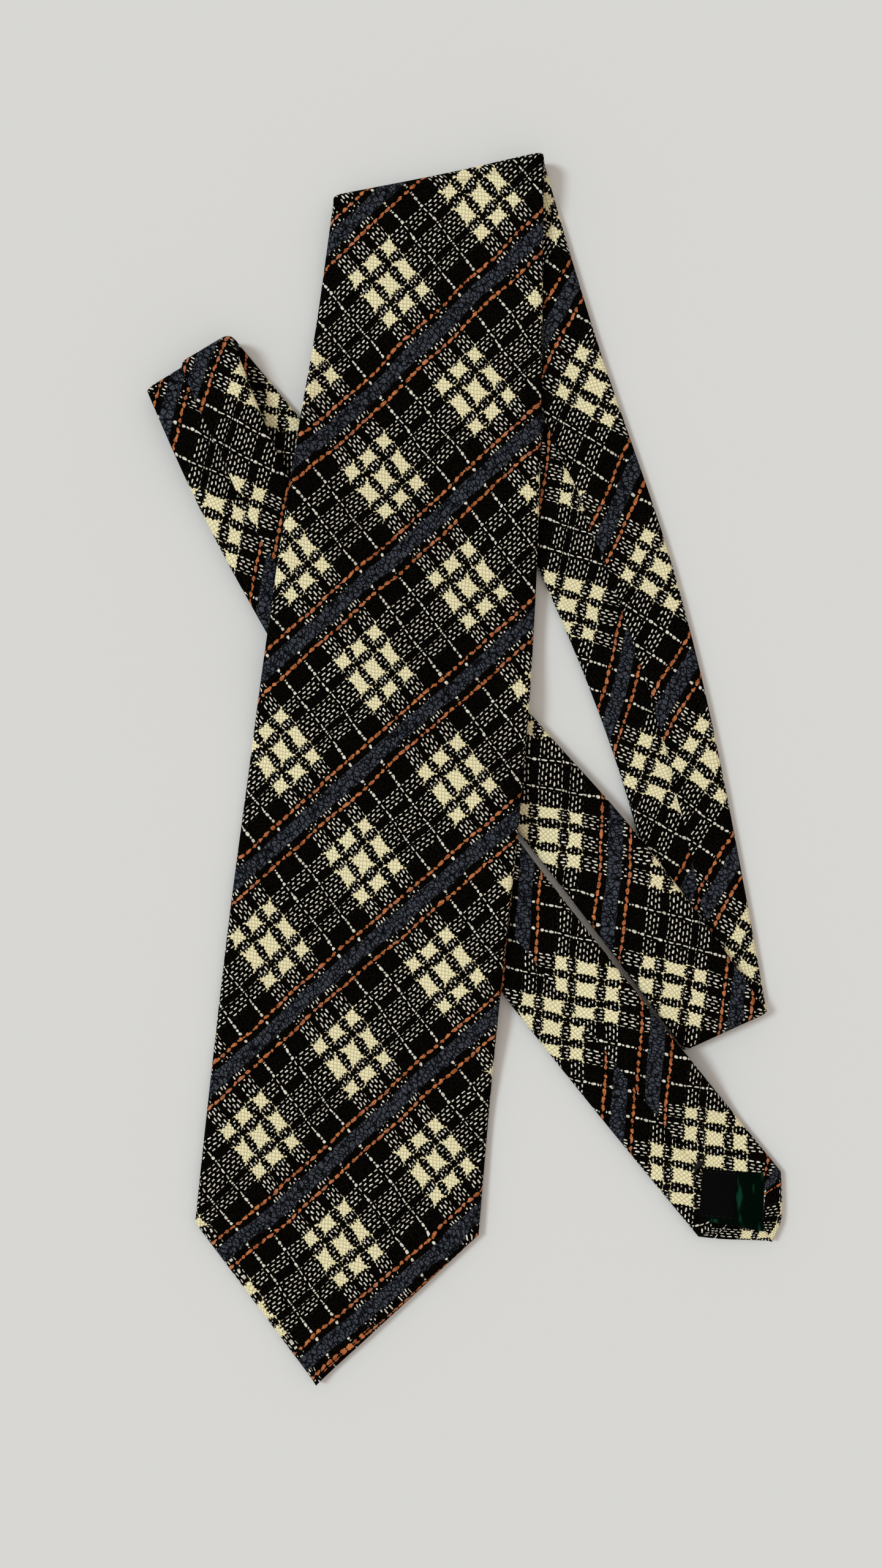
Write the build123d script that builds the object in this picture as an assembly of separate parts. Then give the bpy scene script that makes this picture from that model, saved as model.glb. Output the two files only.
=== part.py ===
from build123d import *
import os
from math import atan2, cos, degrees, hypot, pi, sin

# A necktie lying folded on a table, in millimetres. X runs to the right and Y away from the reader, as the tie is
# laid out, and Z is up from the table. The tie lies in four straight stretches joined by three folds:
#   blade  front side up, on top of everything, from the top fold to the pointed blade end
#   back   back side up, on the table, from the top fold to the corner fold
#   neck   front side up, from the corner fold, under the blade, to the left fold
#   tail   back side up, from the left fold, under the blade, to the pointed tail end

# Thickness of one stretch of tie, and the depth of each layer below the front face of the cloth
TIE = 3.0
CLOTH = 0.6
CANVAS = (0.85, 1.90)
TIPPING = (1.95, 2.15)
LABEL = (2.17, 2.37)
FLAPS = (TIE - CLOTH, TIE)
LAYER_GAP = 0.2
LEVEL = TIE + LAYER_GAP
FOLD_RADIUS = (TIE + LEVEL) / 2
FOLD_INNER = LAYER_GAP / 2

# Stitching and small parts
SEAM_SLIT = 0.5
SEAM_RUN_IN = 0.04
THREAD = 0.3
THREAD_DEPTH = (2.55, 2.85)
BAR_TACK = (6.0, 1.2)
JOIN_THREAD_DEPTH = (CLOTH, CLOTH + 0.2)
JOIN_ANGLE = 45
FIRST_JOIN_BACK = 21.0
SECOND_JOIN_BACK = 53.0
LINING_CLEAR = 0.2
BLADE_TIPPING = 112.0
TAIL_TIPPING = 48.0
KEEPER = (48.0, 20.0)
KEEPER_BACK = 158.0
KEEPER_DEPTH = (3.15, 3.45)
KEEPER_END = 4.0
LABEL_SIZE = (13.0, 17.5)
LABEL_CENTRE = (90.7, -152.6)
LABEL_TURN = -5
STITCH = (0.6, 0.12)
REACH = 600.0
DEGREE = pi / 180

# The three folds, each from one corner of the crease to the other
TOP_FOLD = [(-46.3, 204.8), (28.1, 219.1)]
CORNER_FOLD = [(78.5, -101.2), (108.5, -87.5)]
LEFT_FOLD = [(-114.3, 137.1), (-83.1, 154.7)]

# Each stretch: its two long edges from its first fold on, its point if it has one, the height of its underside along
# its length, and where its seam lies between the two edges
BLADE = {
    "edges": (
        [TOP_FOLD[0], (-57.0, 132.1), (-72.3, 33.6), (-87.0, -75.7), (-96.6, -163.0)],
        [TOP_FOLD[1], (27.4, 132.0), (23.0, 22.7), (12.2, -86.7), (5.1, -167.4)],
    ),
    "point": (-53.1, -221.2),
    "folds": [TOP_FOLD],
    "rise": [(-20, LEVEL), (84, LEVEL), (108, 2 * LEVEL), (260, 2 * LEVEL), (300, 3.6), (334, 0), (450, 0)],
    "front_up": True,
    "seam": 0.5,
    "opening": [(-44.2, -133.6), (-84.5, -163.5), (-52.6, -207.5), (-6.5, -167.0)],
}
BACK = {
    "edges": (
        [TOP_FOLD[0], (-6.5, 137.0), (28.8, 66.5), (58.3, -10.1), CORNER_FOLD[0]],
        [TOP_FOLD[1], (50.9, 143.0), (71.5, 82.8), (92.4, -1.0), CORNER_FOLD[1]],
    ),
    "point": None,
    "folds": [TOP_FOLD, CORNER_FOLD],
    "rise": [(-60, 0), (400, 0)],
    "front_up": False,
    "seam": 0.5,
}
NECK = {
    "edges": (
        [CORNER_FOLD[0], (18.9, -22.6), (-1.0, 1.2), (-47.0, 57.3), LEFT_FOLD[0]],
        [CORNER_FOLD[1], (50.0, -10.1), (30.3, 11.8), (-18.5, 74.5), LEFT_FOLD[1]],
    ),
    "point": None,
    "folds": [CORNER_FOLD, LEFT_FOLD],
    "rise": [(-20, LEVEL), (76, LEVEL), (112, 0), (340, 0)],
    "front_up": True,
    "seam": 0.5,
}
TAIL = {
    "edges": (
        [LEFT_FOLD[0], (-92.5, 88.6), (-70.6, 48.0), (-29.3, -21.3), (18.1, -86.7), (83.9, -167.8)],
        [LEFT_FOLD[1], (-62.0, 102.7), (-41.0, 65.8), (1.0, -0.3), (48.0, -63.2), (113.6, -144.8)],
    ),
    "point": (109.9, -169.9),
    "folds": [LEFT_FOLD],
    "rise": [(-20, LEVEL), (212, LEVEL), (252, 0), (400, 0)],
    "front_up": False,
    "seam": 0.43,
    "opening": [(85.4, -143.7), (83.9, -161.7), (107.0, -166.0), (107.5, -145.0)],
}


def between(a, b, share):
    """The point a share of the way from a to b."""
    return (a[0] + (b[0] - a[0]) * share, a[1] + (b[1] - a[1]) * share)


def heading(a, b):
    """The direction from a to b, in degrees."""
    return degrees(atan2(b[1] - a[1], b[0] - a[0]))


def start(stretch):
    """The middle of the fold that a stretch starts from."""
    return between(*stretch["folds"][0], 0.5)


def finish(stretch):
    """The middle of the far fold, or the point."""
    return stretch["point"] or between(*stretch["folds"][1], 0.5)


def moved_in(edge, other, inset):
    """An edge's points, each moved towards the other edge at right angles to its own."""
    moved = []
    for i, here in enumerate(edge):
        before, after = edge[max(i - 1, 0)], edge[min(i + 1, len(edge) - 1)]
        along = (after[0] - before[0], after[1] - before[1])
        across = (other[i][0] - here[0], other[i][1] - here[1])
        side = 1 if along[0] * across[1] - along[1] * across[0] > 0 else -1
        step = side * inset / hypot(*along)
        moved.append((here[0] - along[1] * step, here[1] + along[0] * step))
    return moved


def outline(stretch, inset=0.0):
    """The stretch seen from above, as a tall prism, its long edges and point moved in by inset."""
    first, second = stretch["edges"]
    one = moved_in(first, second, inset)
    two = moved_in(second, first, inset)
    curves = [Spline(*one), Spline(*two), Line(one[0], two[0])]
    if stretch["point"]:
        shoulders = between(first[-1], second[-1], 0.5)
        reach = hypot(stretch["point"][0] - shoulders[0], stretch["point"][1] - shoulders[1])
        tip = between(stretch["point"], shoulders, 1.4 * inset / reach)
        curves += [Line(one[-1], tip), Line(tip, two[-1])]
    else:
        curves += [Line(one[-1], two[-1])]
    return prism(make_face(curves))


def prism(face):
    """A flat face raised well above and below the tie."""
    return Pos(0, 0, -20) * extrude(face, 60, dir=(0, 0, 1))


def polygon(points):
    """A tall prism on straight-sided points."""
    return prism(make_face(Polyline(*points, close=True)))


def bar(centre, turn, length, width):
    """A tall prism on a rectangle, length along its turn."""
    return prism(Pos(centre[0], centre[1]) * Rot(0, 0, turn) * Rectangle(length, width))


def side_of(point, turn, sign):
    """A tall block that fills one side of the line through point along turn."""
    block = Pos(0, sign * REACH / 2) * Rectangle(REACH, REACH)
    return prism(Pos(point[0], point[1]) * Rot(0, 0, turn) * block)


def layer(stretch, shallow, deep):
    """The layer of a stretch between two depths below its front face, wide enough for any outline."""
    origin, turn = start(stretch), heading(start(stretch), finish(stretch))
    c, s = cos(turn * DEGREE), sin(turn * DEGREE)
    low, high = (TIE - deep, TIE - shallow) if stretch["front_up"] else (shallow, deep)
    under = [(x, z + low) for x, z in stretch["rise"]]
    over = [(x, z + high) for x, z in reversed(stretch["rise"])]
    plane = Plane(origin=(origin[0], origin[1], 0), x_dir=(c, s, 0), z_dir=(s, -c, 0))
    return extrude(plane * make_face(Polyline(*under, *over, close=True)), REACH / 2, both=True)


def clear_of_folds(stretch):
    """The room that a stretch has between its folds, where the bends begin."""
    room = None
    for fold in stretch["folds"]:
        turn = heading(*fold)
        inward = between(start(stretch), finish(stretch), 0.5)
        across = (inward[1] - fold[0][1]) * cos(turn * DEGREE) - (inward[0] - fold[0][0]) * sin(turn * DEGREE)
        sign = 1 if across > 0 else -1
        step = sign * FOLD_RADIUS
        edge = (fold[0][0] - step * sin(turn * DEGREE), fold[0][1] + step * cos(turn * DEGREE))
        half = side_of(edge, turn, sign)
        room = half if room is None else room & half
    return room


def seam_points(stretch):
    """The points the centre seam passes through."""
    first, second = stretch["edges"]
    return [between(a, b, stretch["seam"]) for a, b in zip(first, second)]


def seam_strip(stretch, width):
    """A narrow tall strip along the centre seam, ending where the flaps part above a point."""
    points = seam_points(stretch)
    if stretch["point"]:
        points = points[:-1] + [between(stretch["opening"][0], stretch["point"], SEAM_RUN_IN)]
    left = moved_in(points, [(x + 1, y) for x, y in points], width / 2)
    right = [(2 * p[0] - q[0], 2 * p[1] - q[1]) for p, q in zip(points, left)]
    return prism(make_face([Spline(*left), Spline(*right), Line(left[0], right[0]), Line(left[-1], right[-1])]))


def shell(stretch):
    """The cloth of a stretch: front, folded edges, and the two flaps that meet at the seam."""
    room = clear_of_folds(stretch)
    body = outline(stretch) & layer(stretch, 0, TIE) & room
    body -= outline(stretch, CLOTH) & layer(stretch, CLOTH, TIE - CLOTH)
    flaps = layer(stretch, FLAPS[0] - LAYER_GAP / 4, FLAPS[1] + LAYER_GAP)
    body -= seam_strip(stretch, SEAM_SLIT) & flaps
    if stretch["point"]:
        body -= polygon(stretch["opening"]) & flaps
        body -= tack_prism(stretch, LINING_CLEAR / 2) & flaps
    return body


def interlining(stretch):
    """The canvas inside a stretch."""
    return outline(stretch, CLOTH + LINING_CLEAR) & layer(stretch, *CANVAS) & clear_of_folds(stretch)


def seam_thread(stretch):
    """The slip stitch that closes the flaps, run along the slit between them."""
    return seam_strip(stretch, THREAD) & layer(stretch, *THREAD_DEPTH) & clear_of_folds(stretch) - tack_room(stretch)


def tack_prism(stretch, grow):
    """The bar tack's outline, across the seam just above where the flaps part."""
    top, point = stretch["opening"][0], stretch["point"]
    turn = heading(top, point)
    centre = (top[0] - BAR_TACK[1] * 2 * cos(turn * DEGREE), top[1] - BAR_TACK[1] * 2 * sin(turn * DEGREE))
    return bar(centre, turn + 90, BAR_TACK[0] + 2 * grow, BAR_TACK[1] + 2 * grow)


def tack_room(stretch):
    """Everything from the bar tack to the point, where there is no slip stitch."""
    if not stretch["point"]:
        return side_of((0, REACH), 0, 1)
    top, turn = stretch["opening"][0], heading(stretch["opening"][0], stretch["point"])
    past = (top[0] - BAR_TACK[1] * 3 * cos(turn * DEGREE), top[1] - BAR_TACK[1] * 3 * sin(turn * DEGREE))
    return side_of(past, turn - 90, 1)


def bar_tack(stretch):
    """The knot of stitches that ends the slip stitch."""
    return tack_prism(stretch, 0) & layer(stretch, FLAPS[0] + STITCH[1], FLAPS[1])


def tipping(stretch, length):
    """The satin lining in the back of a point."""
    turn = heading(start(stretch), stretch["point"])
    top = (stretch["point"][0] - length * cos(turn * DEGREE), stretch["point"][1] - length * sin(turn * DEGREE))
    return outline(stretch, CLOTH + LINING_CLEAR) & layer(stretch, *TIPPING) & side_of(top, turn - 90, 1)


def tipping_seam(stretch):
    """The thread that holds the tipping to the two hems beside the point."""
    corners = stretch["opening"]
    thread = None
    for a, b in ((corners[1], corners[2]), (corners[2], corners[3])):
        inside = between(between(a, b, 0.5), corners[0], 0.02)
        length = hypot(b[0] - a[0], b[1] - a[1]) * 0.9
        run = bar(inside, heading(a, b), length, THREAD)
        thread = run if thread is None else thread + run
    return thread & layer(stretch, LABEL[1], LABEL[1] + THREAD)


def fold_ring(fold, inward, inner, outer, inset):
    """The half ring of a fold between two radii, its ends pulled in by inset."""
    turn = heading(*fold)
    length = hypot(fold[1][0] - fold[0][0], fold[1][1] - fold[0][1]) - 2 * inset
    ring = Circle(outer) - Circle(inner) & Pos(-inward * REACH / 2, 0) * Rectangle(REACH, REACH)
    middle = between(*fold, 0.5)
    c, s = cos(turn * DEGREE), sin(turn * DEGREE)
    plane = Plane(
        origin=(middle[0] - inward * FOLD_RADIUS * s, middle[1] + inward * FOLD_RADIUS * c, FOLD_RADIUS),
        x_dir=(-s, c, 0),
        z_dir=(c, s, 0),
    )
    return extrude(plane * ring, length / 2, both=True)


def fold_shell(fold, inward):
    """The cloth round a fold: the two layers and the edges that join them."""
    inside = fold_ring(fold, inward, FOLD_INNER + CLOTH, FOLD_RADIUS - CLOTH, 1 + CLOTH)
    return fold_ring(fold, inward, FOLD_INNER, FOLD_RADIUS, 1) - inside


def fold_canvas(fold, inward, front_outside):
    """The canvas round a fold."""
    if front_outside:
        inner, outer = FOLD_RADIUS - CANVAS[1], FOLD_RADIUS - CANVAS[0]
    else:
        inner, outer = FOLD_INNER + CANVAS[0], FOLD_INNER + CANVAS[1]
    return fold_ring(fold, inward, inner, outer, 1 + CLOTH + LINING_CLEAR)


def join(stretch, back):
    """Where a diagonal join crosses a stretch: its centre and its turn, back from the far fold."""
    far = finish(stretch)
    last = between(stretch["edges"][0][-2], stretch["edges"][1][-2], 0.5)
    turn = heading(last, far)
    return (far[0] - back * cos(turn * DEGREE), far[1] - back * sin(turn * DEGREE)), turn + JOIN_ANGLE


def join_thread(stretch, centre, turn):
    """The sewn line of a diagonal join, on the inside of the front cloth."""
    run = bar(centre, turn, REACH / 6, THREAD)
    return run & outline(stretch, CLOTH + LINING_CLEAR) & layer(stretch, *JOIN_THREAD_DEPTH)


def keeper():
    """The keeper loop's ribbon, its two sewn ends, and the stitches through them."""
    point, top = BLADE["point"], start(BLADE)
    turn = heading(point, top)
    centre = (point[0] + KEEPER_BACK * cos(turn * DEGREE), point[1] + KEEPER_BACK * sin(turn * DEGREE))
    ribbon = bar(centre, turn - 90, *KEEPER) & layer(BLADE, *KEEPER_DEPTH)
    stitches = None
    for sign in (-1, 1):
        out = sign * (KEEPER[0] - KEEPER_END) / 2
        end = (centre[0] + out * sin(turn * DEGREE), centre[1] - out * cos(turn * DEGREE))
        ribbon += bar(end, turn - 90, KEEPER_END, KEEPER[1]) & layer(BLADE, TIE, KEEPER_DEPTH[1])
        line = bar(end, turn, KEEPER[1] * 0.85, STITCH[0]) & layer(BLADE, KEEPER_DEPTH[1], KEEPER_DEPTH[1] + STITCH[1])
        stitches = line if stitches is None else stitches + line
    return ribbon, stitches


def tail_label():
    """The blank woven label on the tail tipping, and the stitches at its two ends."""
    label = bar(LABEL_CENTRE, LABEL_TURN, *LABEL_SIZE) & layer(TAIL, *LABEL)
    stitches = None
    for sign in (-1, 1):
        along = sign * (LABEL_SIZE[1] / 2 - 1.6)
        centre = (
            LABEL_CENTRE[0] - along * sin(LABEL_TURN * DEGREE) + 1,
            LABEL_CENTRE[1] + along * cos(LABEL_TURN * DEGREE),
        )
        line = bar(centre, LABEL_TURN, LABEL_SIZE[0] * 0.6, STITCH[0]) & layer(TAIL, LABEL[1], LABEL[1] + STITCH[1])
        stitches = line if stitches is None else stitches + line
    return label, stitches


back_shell = shell(BACK)
neck_shell = shell(NECK)
first_join, first_turn = join(BACK, FIRST_JOIN_BACK)
second_join, second_turn = join(NECK, SECOND_JOIN_BACK)
keeper_loop, keeper_stitches = keeper()
label, label_stitches = tail_label()

parts = {
    "blade_shell_front": shell(BLADE),
    "blade_shell_fold": fold_shell(TOP_FOLD, -1),
    "blade_shell_back": back_shell & side_of(first_join, first_turn, 1),
    "neck_shell_back": back_shell & side_of(first_join, first_turn, -1),
    "neck_shell_fold": fold_shell(CORNER_FOLD, 1),
    "neck_shell_front": neck_shell & side_of(second_join, second_turn, 1),
    "tail_shell_front": neck_shell & side_of(second_join, second_turn, -1),
    "tail_shell_fold": fold_shell(LEFT_FOLD, -1),
    "tail_shell_back": shell(TAIL),
    "interlining_blade": interlining(BLADE),
    "interlining_top_fold": fold_canvas(TOP_FOLD, -1, True),
    "interlining_back": interlining(BACK),
    "interlining_corner_fold": fold_canvas(CORNER_FOLD, 1, True),
    "interlining_neck": interlining(NECK),
    "interlining_left_fold": fold_canvas(LEFT_FOLD, -1, False),
    "interlining_tail": interlining(TAIL),
    "blade_tipping": tipping(BLADE, BLADE_TIPPING),
    "tail_tipping": tipping(TAIL, TAIL_TIPPING),
    "blade_tipping_seam": tipping_seam(BLADE),
    "tail_tipping_seam": tipping_seam(TAIL),
    "slip_stitch_blade": seam_thread(BLADE),
    "slip_stitch_back": seam_thread(BACK),
    "slip_stitch_neck": seam_thread(NECK),
    "slip_stitch_tail": seam_thread(TAIL),
    "blade_bar_tack": bar_tack(BLADE),
    "tail_bar_tack": bar_tack(TAIL),
    "blade_join_seam": join_thread(BACK, first_join, first_turn),
    "tail_join_seam": join_thread(NECK, second_join, second_turn),
    "keeper_loop": keeper_loop,
    "keeper_loop_stitches": keeper_stitches,
    "tail_label": label,
    "tail_label_stitches": label_stitches,
}

os.makedirs("parts", exist_ok=True)
for name, part in parts.items():
    export_step(part, f"parts/{name}.step")
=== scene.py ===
"""The necktie's looks: jacquard shells, interlining, linings, label, keeper loop and threads.

Lengths in the tables are in millimetres and become metres as each mesh is made.
"""

from functools import partialmethod
from math import cos, pi, radians, sin

import bmesh
import bpy
import numpy as np
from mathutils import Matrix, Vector


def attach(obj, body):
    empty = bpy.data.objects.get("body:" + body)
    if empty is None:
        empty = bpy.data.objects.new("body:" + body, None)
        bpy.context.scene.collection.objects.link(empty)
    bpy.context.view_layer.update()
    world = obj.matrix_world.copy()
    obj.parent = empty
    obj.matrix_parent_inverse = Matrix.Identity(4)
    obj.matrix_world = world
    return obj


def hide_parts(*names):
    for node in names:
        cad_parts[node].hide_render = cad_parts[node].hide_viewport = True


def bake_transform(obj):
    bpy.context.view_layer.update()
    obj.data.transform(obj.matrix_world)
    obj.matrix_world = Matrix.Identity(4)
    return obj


MM = 0.001
ROOT_TWO = 2 ** 0.5

# A stretch over all, its cloth, and the air between two stretches.
TIE, CLOTH, LAYER_GAP = 3.0, 0.5, 0.2
# From a crease back to where its roll starts, and how much less the innermost layer fills that.
FOLD_IN, INNER_SHORT = 3.1, 1.55
# The width of a rolled edge, at most that share of the stretch, and how flat the narrowest place lies.
EDGE_ROLL, ROLL_SHARE, ROLL_THIN = 3.0, 0.28, 0.82
# The lapped seam down the back: its lap, and how it wanders from straight.
FLAP_LAP, LEAST_LAP, WANDER, WANDER_STEP = 6.0, 0.4, 0.35, 9
# The depths, from the front's outside, at which the inner pieces and the stitches lie.
CANVAS_DEPTH, CANVAS_THICK = 1.4, 0.9
SATIN_DEPTH, SATIN_THICK, SATIN_INSET = 2.2, 0.16, 3.4
LABEL_DEPTH, LABEL_THICK = 2.62, 0.18
JOIN_DEPTH, SLIP_DEPTH = 0.72, TIE - 0.42
JOIN_BACK, JOIN_ANGLE = {"back": 21.0, "neck": 53.0}, 45
KEEPER, KEEPER_BACK, KEEPER_END, KEEPER_THICK = (48.0, 20.0), 158.0, 4.0, 0.26
LABEL_SIZE, LABEL_CENTRE, LABEL_TURN = (13.0, 17.5), (90.7, -152.6), -5.0
BAR_TACK = (6.0, 1.2)
TIPPING_LENGTH = {"blade": 112.0, "tail": 48.0}

TOP_FOLD = [(-46.3, 204.8), (28.1, 219.1)]
CORNER_FOLD = [(78.5, -101.2), (108.5, -87.5)]
LEFT_FOLD = [(-114.3, 137.1), (-83.1, 154.7)]

# "edges" run from the first fold to the next fold or to the start of the tip.
# "opening" is the outline the flaps leave free in the back of a point, from its apex round.
# "weave" is the stretch along the cloth, its turn in degrees, its place in the repeat, and how far the
# flaps' pattern is shifted from the front's.
BLADE = {
    "name": "blade",
    "edges": [
        [TOP_FOLD[0], (-57.0, 132.1), (-72.3, 33.6), (-87.0, -75.7), (-96.6, -163.0)],
        [TOP_FOLD[1], (27.4, 132.0), (23.0, 22.7), (12.2, -86.7), (5.1, -167.4)],
    ],
    "folds": [TOP_FOLD],
    "tip": [[(-53.1, -221.2)], [(-53.1, -221.2)]],
    "opening": [(-44.2, -133.6), (-84.5, -163.5), (-52.6, -207.5), (-6.5, -167.0)],
    "front_up": True,
    "seam": 0.5,
    "run": -1,
    "weave": {"stretch": 1.04, "turn": 0.5, "at": (-34.5, -33.3), "flap": (0.0, 0.0)},
}
BACK = {
    "name": "back",
    "edges": [
        [TOP_FOLD[0], (-6.5, 137.0), (28.8, 66.5), (58.3, -10.1), CORNER_FOLD[0]],
        [TOP_FOLD[1], (50.9, 143.0), (71.5, 82.8), (92.4, -1.0), CORNER_FOLD[1]],
    ],
    "folds": [TOP_FOLD, CORNER_FOLD],
    "tip": None,
    "opening": None,
    "front_up": False,
    "seam": 0.5,
    "run": 1,
    "weave": {"stretch": 1.04, "turn": 2.5, "at": (-72.4, -38.4), "flap": (2.5, 2.5)},
}
NECK = {
    "name": "neck",
    "edges": [
        [CORNER_FOLD[0], (18.9, -22.6), (-1.0, 1.2), (-47.0, 57.3), LEFT_FOLD[0]],
        [CORNER_FOLD[1], (50.0, -10.1), (30.3, 11.8), (-18.5, 74.5), LEFT_FOLD[1]],
    ],
    "folds": [CORNER_FOLD, LEFT_FOLD],
    "tip": None,
    "opening": None,
    "front_up": True,
    "seam": 0.5,
    "run": 1,
    "weave": {"stretch": 1.08, "turn": -1.5, "at": (-78.3, -48.0), "flap": (0.0, 0.0)},
}
TAIL = {
    "name": "tail",
    "edges": [
        [LEFT_FOLD[0], (-92.5, 88.6), (-70.6, 48.0), (-29.3, -21.3), (18.1, -86.7), (83.9, -168.0)],
        [LEFT_FOLD[1], (-62.0, 102.7), (-41.0, 65.8), (1.0, -0.3), (48.0, -63.2), (113.6, -144.8)],
    ],
    "folds": [LEFT_FOLD],
    "tip": [
        [(93.0, -168.9), (102.7, -169.2), (110.2, -169.6)],
        [(114.0, -155.8), (113.4, -163.0), (110.2, -169.6)],
    ],
    "opening": [(85.4, -143.7), (83.9, -161.7), (107.0, -166.0), (107.5, -145.0)],
    "front_up": False,
    "seam": 0.43,
    "run": 1,
    "weave": {"stretch": 1.08, "turn": 0.0, "at": (-47.7, -66.4), "flap": (0.0, 0.0)},
}


# ---- lines in plan

def smooth_line(points, step=0.5):
    """A natural cubic spline through the points, sampled about every step."""
    p = np.array(points, float)
    knots = np.r_[0, np.cumsum(np.hypot(*np.diff(p, axis=0).T))]
    n, h = len(p), np.diff(knots)
    matrix, right = np.eye(n), np.zeros_like(p)
    for i in range(1, n - 1):
        matrix[i, i - 1:i + 2] = h[i - 1], 2 * (h[i - 1] + h[i]), h[i]
        right[i] = 6 * ((p[i + 1] - p[i]) / h[i] - (p[i] - p[i - 1]) / h[i - 1])
    bend = np.linalg.solve(matrix, right)
    at = np.linspace(0, knots[-1], max(2, int(knots[-1] / step)))
    i = np.clip(np.searchsorted(knots, at, side="right") - 1, 0, n - 2)
    left, width = (at - knots[i])[:, None], h[i][:, None]
    rest = width - left
    return (
        (bend[i] * rest ** 3 + bend[i + 1] * left ** 3) / (6 * width)
        + (p[i] / width - bend[i] * width / 6) * rest
        + (p[i + 1] / width - bend[i + 1] * width / 6) * left
    )


def along(line):
    """The distance along a sampled line at each of its points."""
    return np.r_[0, np.cumsum(np.hypot(*np.diff(line, axis=0).T))]


def pick(line, at):
    """The points at those distances along a sampled line."""
    run = along(line)
    return np.stack([np.interp(at, run, line[:, k]) for k in (0, 1)], axis=1)


def unit(v):
    """A direction, or each of several, made one long."""
    return v / np.linalg.norm(v, axis=-1, keepdims=True)


def sideways(d):
    """The direction at a right angle to d in the plan, clockwise."""
    return np.array([d[1], -d[0]])


def crease_frame(crease):
    """A crease's first point, its direction and its length."""
    a, b = (np.array(c, float) for c in crease)
    return a, unit(b - a), np.linalg.norm(b - a)


def from_crease(crease, points):
    """How far the points are from a crease line."""
    a, d = crease_frame(crease)[:2]
    return np.abs((points - a) @ sideways(d))


def smoothstep(x):
    """An even rise from 0 to 1 that starts and ends level."""
    x = np.clip(x, 0, 1)
    return x * x * (3 - 2 * x)


def stations(stretch, step=2.0):
    """Matching points down both edges, from just inside one fold to just inside the next, or to the tip."""
    sides, count, tips = [], None, None
    for k in (0, 1):
        line = smooth_line(stretch["edges"][k])
        run = along(line)
        half = len(line) // 2
        start = np.interp(FOLD_IN, from_crease(stretch["folds"][0], line[:half]), run[:half])
        stop = run[-1]
        if len(stretch["folds"]) == 2:
            far = from_crease(stretch["folds"][1], line[half:])[::-1]
            stop = np.interp(FOLD_IN, far, run[half:][::-1])
        count = count or int((stop - start) / step) + 1
        side = pick(line, np.linspace(start, stop, count))
        if stretch["tip"]:
            turn = smooth_line([side[-1], *stretch["tip"][k]], 0.25)
            reach = along(turn)[-1]
            tips = tips or max(14, int(reach / 1.5))
            share = np.linspace(0, 1, tips)[1:]
            share[-1] = 0.995
            side = np.vstack([side, pick(turn, share * reach)])
        sides.append(side)
    return sides[0], sides[1]


def inside(points, outline):
    """Which of the points lie inside a closed outline."""
    x, y = points[..., 0], points[..., 1]
    found = np.zeros(x.shape, bool)
    for (x0, y0), (x1, y1) in zip(outline, np.roll(outline, -1, axis=0)):
        crosses = (y0 > y) != (y1 > y)
        slope = (x1 - x0) / (y1 - y0) if y1 != y0 else 0.0
        found ^= crosses & (x < slope * (y - y0) + x0)
    return found


# ---- how the layers lie on each other

GRID = 2.5
GX = np.arange(-165, 165.1, GRID)
GY = np.arange(-270, 270.1, GRID)
PLAN = np.stack(np.meshgrid(GX, GY, indexing="ij"), axis=-1)


def footprint(stretch, grow=1.5):
    """Which places of the plan a stretch covers, grown a little."""
    a, b = stations(stretch)
    outward = unit(a - b) * grow
    ring = np.vstack([a + outward, (b - outward)[::-1]])
    return inside(PLAN, ring)


def spread(height, reach):
    """Each raised place lifts the cloth round it, falling away to nothing at reach."""
    cells = int(reach / GRID)
    lifted = height.copy()
    for i in range(-cells, cells + 1):
        for j in range(-cells, cells + 1):
            away = GRID * (i * i + j * j) ** 0.5 / reach
            if away < 1:
                share = 1 - smoothstep(away)
                lifted = np.maximum(lifted, share * np.roll(height, (i, j), axis=(0, 1)))
    return lifted


def soften(height, rounds=3):
    """Rounds off the steps in a height over the plan."""
    for _ in range(rounds):
        for axis in (0, 1):
            height = (np.roll(height, 1, axis) + 2 * height + np.roll(height, -1, axis)) / 4
    return height


def at_grid(height, points):
    """The height between grid places."""
    x = np.clip((points[..., 0] - GX[0]) / GRID, 0, len(GX) - 1.001)
    y = np.clip((points[..., 1] - GY[0]) / GRID, 0, len(GY) - 1.001)
    i, j = x.astype(int), y.astype(int)
    fx, fy = x - i, y - j
    low = height[i, j] * (1 - fx) + height[i + 1, j] * fx
    high = height[i, j + 1] * (1 - fx) + height[i + 1, j + 1] * fx
    return low * (1 - fy) + high * fy


def ripple(points, seed, amount, wave):
    """A slow, uneven rise of the cloth, from 0 to amount."""
    rng = np.random.default_rng(seed)
    total = np.zeros(points.shape[:-1])
    for _ in range(5):
        angle, phase = rng.uniform(0, 2 * pi, 2)
        size = wave * rng.uniform(0.6, 1.5)
        total += np.sin((points[..., 0] * cos(angle) + points[..., 1] * sin(angle)) * 2 * pi / size + phase)
    return amount * smoothstep(0.5 + total / 5)


def keeper_frame():
    """The keeper loop's centre on the blade, and the blade's direction there."""
    point = np.array(BLADE["tip"][0][-1])
    d = unit(np.mean(TOP_FOLD, axis=0) - point)
    return point + KEEPER_BACK * d, d


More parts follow.
